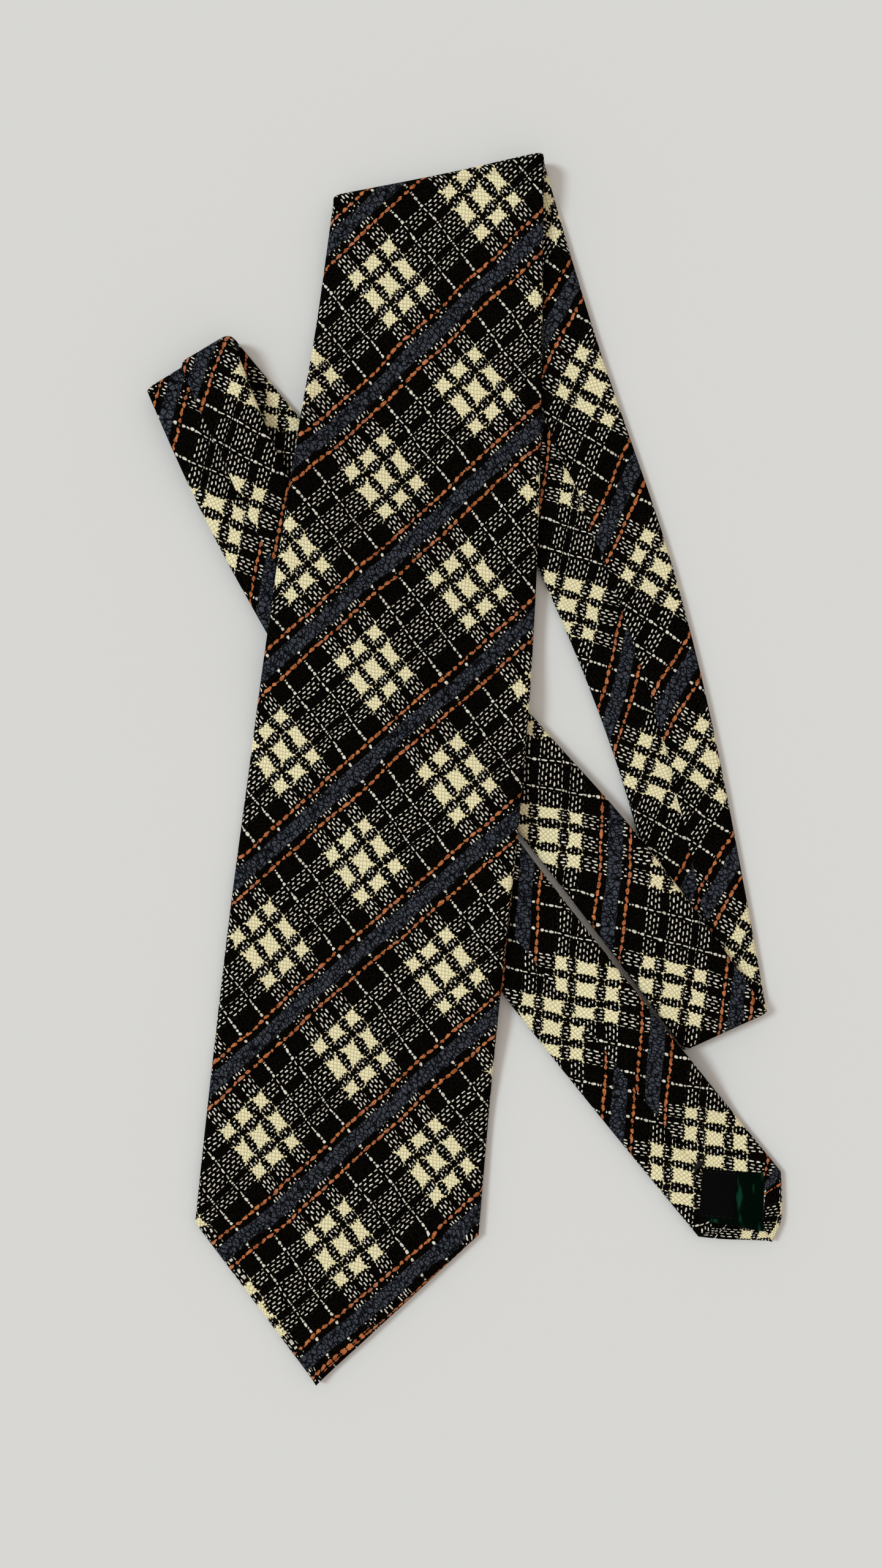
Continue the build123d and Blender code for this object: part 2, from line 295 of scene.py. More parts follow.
def lie(stretch, below, reach, seed, amount, corner=None):
    """The height of the stretch's underside over the plan."""
    bumps = np.zeros(PLAN.shape[:-1])
    for other in below:
        top = other["under"] + TIE + LAYER_GAP
        bumps = np.maximum(bumps, np.where(footprint(other), top, 0))
    if stretch is BLADE:
        centre, d = keeper_frame()
        off = PLAN - centre
        wide, tall = (size / 2 + 4 for size in KEEPER)
        over_keeper = (np.abs(off @ d) < tall) & (np.abs(off @ sideways(d)) < wide)
        bumps = bumps + 0.5 * over_keeper
    height = soften(spread(bumps, reach)) * 1.03 if below else bumps
    away = from_crease(stretch["folds"][0], PLAN)
    far = from_crease(stretch["folds"][-1], PLAN) if len(stretch["folds"]) == 2 else away
    free = smoothstep((np.minimum(away, far) - 5) / 35)
    height = height + ripple(PLAN, seed, amount, 70) * free
    if below:
        hold = 1 - smoothstep((away - 4) / 16)
        height = height + (TIE + LAYER_GAP - height) * hold
    if corner:
        place, lift, size = corner
        height = height + lift * np.exp(-(np.hypot(*np.moveaxis(PLAN - np.array(place), -1, 0)) / size) ** 2)
    stretch["under"] = height
    return stretch


lie(BACK, [], 0, 11, 0.35)
lie(NECK, [BACK], 36, 12, 0.35)
lie(TAIL, [BACK, NECK], 36, 13, 0.4, corner=((-78.0, 141.0), 5.0, 25))
lie(BLADE, [BACK, NECK, TAIL], 33, 14, 0.5, corner=(TOP_FOLD[1], 3.6, 26))


# ---- the sewn tube of a stretch

def chain_shares(a, b, chain):
    """Where the line from a to b crosses the chain of points, as shares of the way from a to b."""
    found = []
    for p, q in zip(chain, chain[1:]):
        m = np.array([b - a, -(q - p)]).T
        if abs(np.linalg.det(m)) > 1e-9:
            f, g = np.linalg.solve(m, p - a)
            if -1e-9 <= g <= 1 + 1e-9:
                found.append(f)
    return found


def flap_ends(stretch, a, b, width):
    """How far each flap reaches across, as shares of the way from edge a to edge b, at each station."""
    first, second = np.full(len(a), stretch["seam"]), np.full(len(a), stretch["seam"])
    lap = np.full(len(a), FLAP_LAP)
    if stretch["opening"]:
        apex, left, tip, right = (np.array(p, float) for p in stretch["opening"])
        opened = None
        for i in range(len(a)):
            low = chain_shares(a[i], b[i], [apex, left, tip])
            high = chain_shares(a[i], b[i], [apex, right, tip])
            if low and high:
                first[i], second[i] = min(low), max(high)
                opened = i if opened is None else opened
            elif opened is not None:
                first[i] = second[i] = 0.5
        at = np.arange(len(a))
        lap = np.where(at < opened, FLAP_LAP * smoothstep((opened - at) / 6), 0)
    return first + lap / width, second


# Places across the tube: a flap, its roll, the front, the other roll and the other flap.
FLAP_COUNT, ROLL_COUNT, FRONT_COUNT = 30, 11, 58
FLAP = FLAP_COUNT - 1
SIDE = FLAP + ROLL_COUNT
PLACES = 2 * SIDE + FRONT_COUNT - 2
ROLL_TURN = np.linspace(0, pi, ROLL_COUNT)


def places_across(first, second, width, roll):
    """How far each place lies from edge a, at each station."""
    t_flap = np.linspace(0, 1, FLAP_COUNT)
    flap_a = first - np.outer(t_flap, first - roll)
    flap_b = width - (roll + np.outer(t_flap, (width - second) - roll))
    side = roll * (1 - np.sin(ROLL_TURN))[:, None]
    front = roll + np.outer(np.linspace(0, 1, FRONT_COUNT), width - 2 * roll)
    return np.vstack([flap_a[:-1], side, front[1:-1], width - side, flap_b[1:]]).T


def seam_relief(x, first, second, lapped):
    """The flaps' ends: the first dips under the second's turned edge, or both are hemmed."""
    place = np.arange(PLACES)
    lapped = lapped[:, None]
    from_first, from_second = x - first[:, None], x - second[:, None]
    dip = 0.62 * (1 - smoothstep((0.3 - from_second) / 2.2)) * lapped
    ridge = 0.18 * np.exp(-((from_second - 2.5) / 3.5) ** 2) - 0.5 * np.exp(-(from_second / 0.45) ** 2)
    hem_a, hem_b = (0.42 * np.exp(-(off / 0.5) ** 2) * ~lapped for off in (from_first, from_second))
    on_b = np.where(place >= PLACES - FLAP, ridge * lapped - hem_b, 0)
    return on_b - np.where(place < FLAP, dip + hem_a, 0)


def past_edges(x, width, roll):
    """How far each place of the rolls and flaps lies past its own edge once the cloth is opened flat."""
    roll, width = roll[:, None], width[:, None]
    half_round = np.hypot(roll, TIE / 2) / 1.414 * pi
    part = ROLL_TURN[None, :] / pi * half_round
    past = np.zeros_like(x)
    past[:, FLAP:SIDE] = half_round - part - roll
    past[:, -SIDE:-FLAP] = part - roll
    past[:, :FLAP] = x[:, :FLAP] + half_round - 2 * roll
    past[:, -FLAP:] = width - x[:, -FLAP:] + half_round - 2 * roll
    return past


def opened_flat(plan, past, a, b, middle):
    """Where each place lies in the plan once the flaps are opened out past their edges."""
    flat = plan.copy()
    at = np.arange(len(a))
    for edge, side in ((a, slice(0, SIDE)), (b, slice(-SIDE, None))):
        step = unit(edge[np.minimum(at + 3, len(a) - 1)] - edge[np.maximum(at - 3, 0)])
        out = np.stack([-step[:, 1], step[:, 0]], axis=1)
        out *= np.sign((out * (edge - middle)).sum(1))[:, None]
        slide = ((plan[:, side] - edge[:, None]) * step[:, None]).sum(-1)
        flat[:, side] = edge[:, None] + slide[..., None] * step[:, None] + past[:, side, None] * out[:, None]
    return flat


def weave_at(stretch, flat, middle, run, forward, across):
    """Weave coordinates, at 45 degrees to the stretch, of places on the flat cloth."""
    normal = np.stack([forward[:, 1], -forward[:, 0]], axis=1)
    normal *= np.sign((normal * across).sum(1))[:, None]
    off = flat - middle[:, None]
    s = (run[:, None] + (off * forward[:, None]).sum(-1)) * stretch["run"]
    p = (off * normal[:, None]).sum(-1)
    weave = stretch["weave"]
    turn = radians(weave["turn"])
    s, p = s * cos(turn) - p * sin(turn), s * sin(turn) + p * cos(turn)
    s, p = s / weave["stretch"], p * weave["stretch"]
    lean = smoothstep((np.arange(PLACES) - PLACES * 0.25) / (PLACES * 0.5)) * 2 - 1
    u = (s + p) / ROOT_TWO + weave["at"][0] + lean * weave["flap"][0]
    v = (p - s) / ROOT_TWO + weave["at"][1] + lean * weave["flap"][1]
    return np.dstack([u, v])


def tube(stretch):
    """The stretch's cloth as a grid of points, stations by places across, with weave coordinates."""
    a, b = stations(stretch)
    width = np.linalg.norm(b - a, axis=1)
    middle = (a + b) / 2
    run = along(middle)
    forward, across = unit(np.gradient(middle, axis=0)), unit(b - a)
    stretch["line"] = {"a": a, "b": b, "run": run, "forward": forward, "across": across, "width": width}
    roll = np.minimum(EDGE_ROLL, ROLL_SHARE * width)
    first, second = (end * width for end in flap_ends(stretch, a, b, width))
    knots = np.arange(0, run[-1] + WANDER_STEP, WANDER_STEP)
    wander = np.interp(run, knots, np.random.default_rng(5).normal(0, WANDER, len(knots)))
    lapped = first - second > LEAST_LAP
    first, second = (end + np.where(lapped, wander, 0) for end in (first, second))
    x = places_across(first, second, width, roll)
    thick = TIE * (ROLL_THIN + (1 - ROLL_THIN) * smoothstep(roll / EDGE_ROLL))
    side = np.r_[np.ones(FLAP), (1 + np.cos(ROLL_TURN)) / 2]
    share = np.r_[side, np.zeros(FRONT_COUNT - 2), side[::-1]]
    depth = thick[:, None] * share + seam_relief(x, first, second, lapped)
    plan = a[:, None, :] + across[:, None, :] * x[..., None]
    z = at_grid(stretch["under"], plan) + (TIE - depth if stretch["front_up"] else depth)
    flat = opened_flat(plan, past_edges(x, width, roll), a, b, middle)
    return np.dstack([plan, z]), weave_at(stretch, flat, middle, run, forward, across)


def grid_mesh(name, points, weave=None, flip=False):
    """A mesh from a grid of points in millimetres."""
    n, m = points.shape[:2]
    i, j = np.meshgrid(np.arange(n - 1), np.arange(m - 1), indexing="ij")
    corner = (i * m + j).ravel()
    faces = np.stack([corner, corner + m, corner + m + 1, corner + 1], axis=1)
    if flip:
        faces = faces[:, ::-1]
    mesh = bpy.data.meshes.new(name)
    mesh.from_pydata((points.reshape(-1, 3) * MM).tolist(), [], faces.tolist())
    if weave is not None:
        layer = mesh.uv_layers.new(name="Weave")
        flat = weave.reshape(-1, 2)[faces.ravel()]
        layer.data.foreach_set("uv", flat.astype(np.float32).ravel())
    mesh.polygons.foreach_set("use_smooth", [True] * len(mesh.polygons))
    return add_object(name, mesh)


def add_object(name, data):
    """A mesh, a light or a camera as an object in the scene."""
    obj = bpy.data.objects.new(name, data)
    bpy.context.scene.collection.objects.link(obj)
    return obj


def thicken(obj, thickness, offset=-1.0):
    """Gives the sheet its thickness and makes that its final mesh."""
    solid = obj.modifiers.new("thickness", "SOLIDIFY")
    solid.thickness = thickness * MM
    solid.offset = offset
    solid.use_rim = True
    bpy.context.view_layer.update()
    made = bpy.data.meshes.new_from_object(obj.evaluated_get(bpy.context.evaluated_depsgraph_get()))
    obj.modifiers.clear()
    obj.data = made


def cut_away(obj, place, turn, sign):
    """Keeps the half of the mesh on one side of an upright plane through place."""
    direction = (-sin(radians(turn)) * sign, cos(radians(turn)) * sign, 0)
    point = (place[0] * MM, place[1] * MM, 0)
    bm = bmesh.new()
    bm.from_mesh(obj.data)
    everything = bm.verts[:] + bm.edges[:] + bm.faces[:]
    bmesh.ops.bisect_plane(bm, geom=everything, plane_co=point, plane_no=direction, clear_inner=True)
    bm.to_mesh(obj.data)
    bm.free()


def join_line(stretch, back):
    """The centre and turn of a diagonal join, that far before the last fold."""
    last = [smooth_line(stretch["edges"][k])[-1] for k in (0, 1)]
    before = (np.array(stretch["edges"][0][-2]) + np.array(stretch["edges"][1][-2])) / 2
    far = (last[0] + last[1]) / 2
    d = unit(far - before)
    turn = np.degrees(np.arctan2(d[1], d[0]))
    return far - back * d, turn + JOIN_ANGLE


def outward_flip(stretch):
    """True where the grid's faces have to be turned over to look out of the tube."""
    forward, across = stretch["line"]["forward"], stretch["line"]["across"]
    i = len(forward) // 2
    turn = forward[i][0] * across[i][1] - forward[i][1] * across[i][0]
    return (turn > 0) != stretch["front_up"]


def fold_grid(lower, upper, fold, bulge, steps=14):
    """Half rings that carry one stretch's last ring round into the next one's first."""
    a, d = crease_frame(fold)[:2]
    out = sideways(d)
    ring = (lower[:, :2] + upper[:, :2]) / 2
    out *= -np.sign(((ring - a) @ out).mean())
    turn = np.linspace(0, pi, steps)[:, None, None]
    share = (1 - np.cos(turn)) / 2
    points = lower * (1 - share) + upper * share
    reach = bulge[None, :, None] * np.sin(turn)
    points[..., :2] += reach * out
    return points


def ring_uv(uv, stretch, steps, bulge, sign):
    """Weave coordinates round a fold, carried on from the child stretch's ring."""
    run = np.linspace(pi, 0, steps) * (bulge.max() + TIE / 2) / 1.6
    step = np.array([1, -1]) / ROOT_TWO / stretch["weave"]["stretch"] * sign
    return uv[None] + run[:, None, None] * step


# ---- materials

class Value:
    """A number in a material's node tree; sums and products of it add maths nodes."""

    def __init__(self, tree, socket):
        self.tree, self.socket = tree, socket

    def made(self, operation, *others):
        node = self.tree.nodes.new("ShaderNodeMath")
        node.operation = operation
        for k, item in enumerate((self, *others)):
            if isinstance(item, Value):
                self.tree.links.new(item.socket, node.inputs[k])
            else:
                node.inputs[k].default_value = item
        return Value(self.tree, node.outputs[0])

    def __neg__(self):
        return self.made("MULTIPLY", -1.0)

    def ramp(self, low, high):
        """A smooth rise from 0 at low to 1 at high."""
        node = self.tree.nodes.new("ShaderNodeMapRange")
        node.interpolation_type = "SMOOTHSTEP"
        self.tree.links.new(self.socket, node.inputs["Value"])
        node.inputs["From Min"].default_value = low
        node.inputs["From Max"].default_value = high
        return Value(self.tree, node.outputs["Result"])


OPERATIONS = {
    "__add__": "ADD", "__sub__": "SUBTRACT", "__mul__": "MULTIPLY", "__truediv__": "DIVIDE",
    "__pow__": "POWER", "__abs__": "ABSOLUTE", "low": "MINIMUM", "high": "MAXIMUM", "below": "LESS_THAN",
    "repeat": "FLOORED_MODULO", "fract": "FRACT", "rounded": "ROUND", "cosine": "COSINE", "sine": "SINE",
}
for method, operation in OPERATIONS.items():
    setattr(Value, method, partialmethod(Value.made, operation))


def material(name, slot, colour, roughness, **settings):
    """A material with a Principled shader, and its tree."""
    made = bpy.data.materials.new(name)
    made.use_nodes = True
    tree = made.node_tree
    shader = tree.nodes["Principled BSDF"]
    shader.inputs["Base Color"].default_value = (*colour, 1)
    shader.inputs["Roughness"].default_value = roughness
    for key, value in settings.items():
        shader.inputs[key.replace("_", " ").title().replace("Ior", "IOR")].default_value = value
    made["slot"] = slot
    return made, tree, shader


def texture(tree, kind, vector, scale, **settings):
    """A texture node on those coordinates."""
    node = tree.nodes.new(kind)
    tree.links.new(vector, node.inputs["Vector"])
    node.inputs["Scale"].default_value = scale
    for key, value in settings.items():
        node.inputs[key.title()].default_value = value
    return node


def noise(tree, vector, scale, detail):
    """A noise from 0 to 1."""
    return Value(tree, texture(tree, "ShaderNodeTexNoise", vector, scale, detail=detail).outputs["Fac"])


def mixed(tree, share, first, second):
    """A colour between two, each a colour socket or three numbers."""
    node = tree.nodes.new("ShaderNodeMix")
    node.data_type = "RGBA"
    if isinstance(share, Value):
        tree.links.new(share.socket, node.inputs[0])
    else:
        node.inputs[0].default_value = share
    for k, item in ((6, first), (7, second)):
        if isinstance(item, tuple):
            node.inputs[k].default_value = (*item, 1)
        else:
            tree.links.new(item, node.inputs[k])
    return node.outputs[2]


def bumped(tree, shader, height, strength, distance):
    """Fine relief, with its distance in millimetres."""
    node = tree.nodes.new("ShaderNodeBump")
    node.inputs["Strength"].default_value = strength
    node.inputs["Distance"].default_value = distance * MM
    tree.links.new(height.socket, node.inputs["Height"])
    tree.links.new(node.outputs["Normal"], shader.inputs["Normal"])


def mapped(tree, vector, scale, turn):
    """Coordinates scaled, and turned about the upright axis."""
    node = tree.nodes.new("ShaderNodeMapping")
    node.inputs["Scale"].default_value = scale
    node.inputs["Rotation"].default_value = (0, 0, turn)
    tree.links.new(vector, node.inputs["Vector"])
    return node.outputs[0]


def between(tree, share, low, high, socket):
    """Runs a shader's socket from low to high with the share."""
    node = tree.nodes.new("ShaderNodeMapRange")
    tree.links.new(share.socket, node.inputs["Value"])
    node.inputs["To Min"].default_value = low
    node.inputs["To Max"].default_value = high
    tree.links.new(node.outputs["Result"], socket)


def grown_mask(inner, soft=0.3):
    """A soft-edged mask that is 1 where inner is well below 1."""
    return (-inner + 1).ramp(0.0, soft)


# The plaid's repeat along its two threads in millimetres, and the pitch of the threads in it.
REPEAT_U, REPEAT_V = 44.5, 48.75
THREAD_U, THREAD_V = REPEAT_U / 38, REPEAT_V / 37
# Where the cream blocks' columns and rows lie in a repeat, with half their widths.
BLOCK_COLUMNS = ((10.2, 2.75), (17.75, 3.15), (25.65, 2.55))
BLOCK_ROWS = ((20.85, 2.7), (30.3, 4.2), (39.45, 2.6))
# The second line of slubs and of orange picks. The first of each lies where the repeat starts.
SLUB_LINE, ORANGE_LINE = 34.8, 10.7
SLUB_PITCH, PICK_PITCH = 3.25, 2.967
BAND_PLACE, BAND_HALF = 5.2, 2.75

# Each yarn's darker and lighter colour.
GROUND = ((0.0002, 0.0001, 0.0001), (0.0090, 0.0074, 0.0048))
WHITE = ((0.50, 0.47, 0.39), (0.80, 0.775, 0.69))
CREAM = ((0.54, 0.47, 0.25), (0.88, 0.81, 0.53))
RUST, DULL_RUST = ((0.24, 0.065, 0.022), (0.56, 0.19, 0.07)), (0.42, 0.22, 0.17)
BLUE, BLUE_GAP = ((0.020, 0.024, 0.034), (0.18, 0.195, 0.23)), (0.003, 0.003, 0.004)


def nearest_block(at, blocks):
    """How far a place is from the nearest block, in halves of that block's width."""
    first, *others = (abs(at - centre) / half for centre, half in blocks)
    for other in others:
        first = first.low(other)
    return first


def nearest_line(at, repeat, second):
    """How far a place is from the line where the repeat starts or from the second one."""
    return (-abs(at - repeat / 2) + repeat / 2).low(abs(at - second))


def beat_along(run, thread, jitter, uneven):
    """Where along its dash a thread is: neighbours lie half a dash apart, a little unevenly."""
    return (run * 0.5 + thread.repeat(2) * 0.5 + (thread * jitter).sine() * 0.12 + uneven * 0.35).fract()


def dash(off, half_width, beat, half_length):
    """One dash of a broken thread, from places across and along it."""
    return grown_mask((off / half_width) ** 2.0 + (abs(beat - 0.5) / half_length) ** 4.0)


def boucle(tree, vector):
    """The blue band's curled yarn: its colour, and how far a place is from the gaps in it."""
    curled = mapped(tree, vector, (0.72, 0.50, 1), 0.5)
    leaf = texture(tree, "ShaderNodeTexVoronoi", curled, 1.0)
    leaf.feature = "DISTANCE_TO_EDGE"
    gap = Value(tree, leaf.outputs["Distance"]).ramp(0.03, 0.16)
    blue = mixed(tree, noise(tree, curled, 6.0, 3).ramp(0.50, 0.68), *BLUE)
    return mixed(tree, gap, BLUE_GAP, blue), gap


def uneven_parts(tree, vector, scale, detail):
    """Three noises about 0."""
    node = texture(tree, "ShaderNodeTexNoise", vector, scale, detail=detail)
    channels = tree.nodes.new("ShaderNodeSeparateColor")
    tree.links.new(node.outputs["Color"], channels.inputs[0])
    return [Value(tree, channels.outputs[k]) - 0.5 for k in range(3)]


def jacquard():
    """The tie's cloth: cream plaid blocks, broken white lines, orange picks and a blue band on black."""
    name = "jacquard_cloth"
    made, tree, shader = material(name, name, (0.01, 0.01, 0.01), 0.7, specular_ior_level=0.05)
    uv = tree.nodes.new("ShaderNodeUVMap")
    uv.uv_map = "Weave"
    vector = uv.outputs["UV"]
    split = tree.nodes.new("ShaderNodeSeparateXYZ")
    tree.links.new(vector, split.inputs[0])
    slow_u, slow_v = uneven_parts(tree, vector, 0.055, 1)[:2]
    fast_u, fast_v, fast_w = uneven_parts(tree, vector, 0.55, 1)
    fine_u, fine_v, fine_w = uneven_parts(tree, vector, 2.6, 2)
    u = (Value(tree, split.outputs[0]) + slow_u * 2.4 + fast_u * 0.7).repeat(REPEAT_U)
    v = (Value(tree, split.outputs[1]) + slow_v * 2.4 + fast_v * 0.7).repeat(REPEAT_V)
    tu, tv = u / THREAD_U, v / THREAD_V
    iu, iv = tu.rounded(), tv.rounded()
    fu, fv = tu - iu, tv - iv

    # the cream blocks and the bands of broken lines between them
    near_u, near_v = nearest_block(u, BLOCK_COLUMNS), nearest_block(v, BLOCK_ROWS)
    flare_u = near_v.low(1.0) ** 4.0 * 0.30 + fast_u * 0.45 + (tv * (2 * pi)).cosine() * 0.09 + fine_u * 0.12
    flare_v = near_u.low(1.0) ** 4.0 * 0.30 + fast_v * 0.45 + (tu * (2 * pi)).cosine() * 0.10 + fine_v * 0.12
    block = (near_u - flare_u - 0.81).high(near_v - flare_v - 0.83)
    halo = block.below(0.15)
    block = (-block).ramp(-0.02, 0.05)
    in_column, in_row = near_u.below(0.96), near_v.below(0.96)
    beat_v, beat_u = beat_along(tv, iu, 2.9, fast_w), beat_along(tu, iv, 2.3, fast_w)
    down, over = dash(fu, 0.235, beat_v, 0.32), dash(fv, 0.195, beat_u, 0.31)

    # two single threads of slubs
    single = nearest_line(u, REPEAT_U, SLUB_LINE)
    beat = abs((v / SLUB_PITCH + fast_w * 0.3).fract() - 0.5)
    large = (single / 0.56) ** 2.0 + (beat * SLUB_PITCH / 0.85) ** 2.0
    small = (single / 0.42) ** 2.0 + ((-beat + 0.5) * SLUB_PITCH / 0.5) ** 2.0
    pearl = grown_mask(large.low(small))
    stem = dash(single, 0.28, beat_v, 0.34)

    # the orange picks
    pick = nearest_line(v, REPEAT_V, ORANGE_LINE)
    beat = abs((u / PICK_PITCH + fast_w * 1.3).fract() - 0.5)
    orange = grown_mask(pick / 0.72 + (beat * PICK_PITCH / 1.38) ** 2.0, 0.2)

    # the blue band
    band = abs(v - BAND_PLACE) + fast_v * 0.9
    in_band = (-band + BAND_HALF).ramp(0.0, 0.25)
    blue, gap = boucle(tree, vector)

    # colours, from the ground up
    ground = mixed(tree, (fine_w * 2 + 0.5).ramp(0.42, 0.9), *GROUND)
    white = mixed(tree, (fast_u * 3 + 0.5).ramp(0, 1), *WHITE)
    lattice = abs(((tu + tv) / 1.4).fract() - 0.5).low(abs(((tu - tv) / 1.4).fract() - 0.5))
    tone = lattice.ramp(0.02, 0.2)
    cream = mixed(tree, tone, *CREAM)
    rust = mixed(tree, (fine_u * 2 + fast_v * 2 + 0.5).ramp(0, 1), *RUST)
    rust = mixed(tree, in_column * 0.6, rust, mixed(tree, 0.35, rust, DULL_RUST))
    free = -in_row + 1
    downs = down * in_column * free
    overs = over * in_row * (-single.below(1.0) + 1)
    lines = downs.high(overs).high(pearl * free + stem * in_row)
    lines = lines * (-pick.below(1.1).high(band.below(BAND_HALF)).high(halo) + 1)
    colour = mixed(tree, lines, ground, white)
    colour = mixed(tree, block, colour, cream)
    colour = mixed(tree, in_band, colour, blue)
    colour = mixed(tree, orange, colour, rust)
    tree.links.new(colour, shader.inputs["Base Color"])
    relief = lines.high(orange).high(in_band * gap * 0.9).high(block * (tone * 0.35 + 0.55))
    bumped(tree, shader, relief + fine_w * 0.35, 0.8, 0.4)
    pale = block.high(lines)
    between(tree, pale, 0.82, 0.5, shader.inputs["Roughness"])
    between(tree, pale, 0.005, 0.3, shader.inputs["Specular IOR Level"])
    return made


def place_vector(tree):
    """The object's own coordinates, which the weave of small pieces is laid on."""
    return tree.nodes.new("ShaderNodeTexCoord").outputs["Object"]


def woven(name, colours, roughness, pitch, turn=0.0, strength=0.4, **settings):
    """A plain ribbed weave of two close colours, pitch in millimetres and turn in degrees."""
    made, tree, shader = material(name, name, colours[0], roughness, **settings)
    vector = mapped(tree, place_vector(tree), (1000 / pitch,) * 3, radians(turn))
    split = tree.nodes.new("ShaderNodeSeparateXYZ")
    tree.links.new(vector, split.inputs[0])
    x, y = Value(tree, split.outputs[0]), Value(tree, split.outputs[1])
    uneven = noise(tree, vector, 0.35, 3)
    rib = (x * (2 * pi)).sine() * (y * (2 * pi)).sine() * 0.5 + 0.5
    colour = mixed(tree, (rib * 0.6 + uneven * 0.6).ramp(0.2, 0.9), *colours)
    tree.links.new(colour, shader.inputs["Base Color"])
    bumped(tree, shader, rib + uneven * 0.5, strength, pitch * 0.3)
    return made


def satin():
    """Near-black lining satin with a dark green lustre, and sparse green streaks of painted sheen in its
    colour.
    """
    made, tree, shader = material(
        "satin_lining", "satin_lining", (0.001, 0.002, 0.0015), 0.3,
        anisotropic=0.6, specular_tint=(0.02, 0.75, 0.35, 1), specular_ior_level=0.05,
    )
    fine = mapped(tree, place_vector(tree), (1000, 5200, 1000), radians(20))
    streak = noise(tree, fine, 0.8, 3)
    # The sparse green streaks mixed into the colour below are painted sheen: the crease highlights the satin
    # would catch.
    long = mapped(tree, place_vector(tree), (330, 110, 330), radians(-14))
    painted_sheen = noise(tree, long, 1.0, 1)
    dark = mixed(tree, streak.ramp(0.35, 0.75), (0.0004, 0.0008, 0.0006), (0.0012, 0.0030, 0.0020))
    colour = mixed(tree, painted_sheen.ramp(0.57, 0.70), dark, (0.004, 0.034, 0.018))
    tree.links.new(colour, shader.inputs["Base Color"])
    bumped(tree, shader, streak, 0.25, 0.1)
    return made


WOOL = ((0.62, 0.58, 0.48), (0.80, 0.77, 0.68))
DAMASK = ((0.0004, 0.0004, 0.0004), (0.0026, 0.0026, 0.0028))
RIBBON = ((0.008, 0.008, 0.009), (0.03, 0.03, 0.032))
THREAD = ((0.0020, 0.0022, 0.0030), (0.012, 0.012, 0.014))
MATERIALS = {
    "jacquard_cloth": jacquard(),
    "interlining": woven("interlining", WOOL, 0.95, 1.1, 45, 0.7, sheen_weight=0.3),
    "satin_lining": satin(),
    "woven_label": woven("woven_label", DAMASK, 0.8, 0.35, specular_ior_level=0.03),
    "keeper_ribbon": woven("keeper_ribbon", RIBBON, 0.6, 0.9, strength=0.6),
    "thread": woven("thread", THREAD, 0.7, 0.25, 45, 0.5, specular_ior_level=0.15),
}


def dress(obj, slot):
    """Gives a piece its slot's material alone."""
    obj.data.materials.clear()
    obj.data.materials.append(MATERIALS[slot])
    return obj


# ---- the frame

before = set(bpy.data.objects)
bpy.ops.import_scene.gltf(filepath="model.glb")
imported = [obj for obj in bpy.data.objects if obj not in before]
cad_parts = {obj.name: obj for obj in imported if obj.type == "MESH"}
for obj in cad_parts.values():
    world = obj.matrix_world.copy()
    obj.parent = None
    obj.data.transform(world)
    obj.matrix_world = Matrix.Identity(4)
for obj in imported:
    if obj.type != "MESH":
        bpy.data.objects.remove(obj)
MOVES_WITH = {name: name + "_stretch" for name in ("blade", "back", "neck", "tail")}
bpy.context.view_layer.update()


def flat_cut(obj, stretch):
    """The cloth's own width and length before it was folded, from its weave coordinates."""
    layer = obj.data.uv_layers["Weave"]
    uv = np.zeros(len(layer.data) * 2, np.float32)
    layer.data.foreach_get("uv", uv)
    u, v = uv.reshape(-1, 2).T
    k = stretch["weave"]["stretch"]
    s, p = (u - v) / ROOT_TWO * k, (u + v) / ROOT_TWO / k
    return np.ptp(p), np.ptp(s)


# ---- shells

GRIDS = {s["name"]: tube(s) for s in (BACK, NECK, TAIL, BLADE)}
CLOTH_TURN = 1


def shell_piece(name, stretch, node, side=None):
    """A stretch's cloth, or the part of it on one side of its diagonal join."""
    first = 0 if stretch is BACK else CLOTH_TURN
    points, weave = (grid[first:] for grid in GRIDS[stretch["name"]])
    obj = grid_mesh(name, points, weave, outward_flip(stretch))
    if side:
        cut_away(obj, *join_line(stretch, JOIN_BACK[stretch["name"]]), side)
    thicken(obj, CLOTH)
    dress(obj, "jacquard_cloth")
    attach(obj, MOVES_WITH[stretch["name"]])
    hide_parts(node)
    flat_cut(obj, stretch)


def fold_piece(lower, ring, upper, fold):
    """The cloth round a fold, with the first rows of the stretch above it."""
    name = upper["name"]
    bulge = bulge_of(lower, ring, upper, fold)
    above, above_weave = (grid[:CLOTH_TURN + 1] for grid in GRIDS[name])
    bend = fold_grid(GRIDS[lower["name"]][0][ring], above[0], fold, bulge)
    points = np.concatenate([bend, above[1:]])
    round_fold = ring_uv(above_weave[0], upper, len(bend), bulge, -1 if ring else 1)
    weave = np.concatenate([round_fold, above_weave[1:]])
    obj = grid_mesh(name + "_fold_cloth", points, weave, outward_flip(upper))
    if not fold_faces_out(obj, fold):
        obj.data.flip_normals()
    thicken(obj, CLOTH)
    dress(obj, "jacquard_cloth")
    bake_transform(obj)
    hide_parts(name + "_shell_fold")


def fold_faces_out(obj, fold):
    """True where the fold's outermost faces look away from the tie."""
    a, d, length = crease_frame(fold)
    out = sideways(d)
    out *= np.sign((a + d * length / 2) @ out)
    outer = max(obj.data.polygons, key=lambda p: (np.array(p.center[:2]) / MM - a) @ out)
    return np.array(outer.normal[:2]) @ out > 0


def bulge_of(lower, ring, upper, fold):
    """How far a fold reaches out at each place across: least for the inner layers."""
    low, high = GRIDS[lower["name"]][0][ring], GRIDS[upper["name"]][0][0]
    gap = at_grid(upper["under"], high[:, :2]) - at_grid(lower["under"], low[:, :2]) - TIE
    share = (high[:, 2] - low[:, 2] - gap) / (2 * TIE)
    return np.clip(FOLD_IN * set_back(fold, high) - INNER_SHORT * (1 - share), 0.05, FOLD_IN)


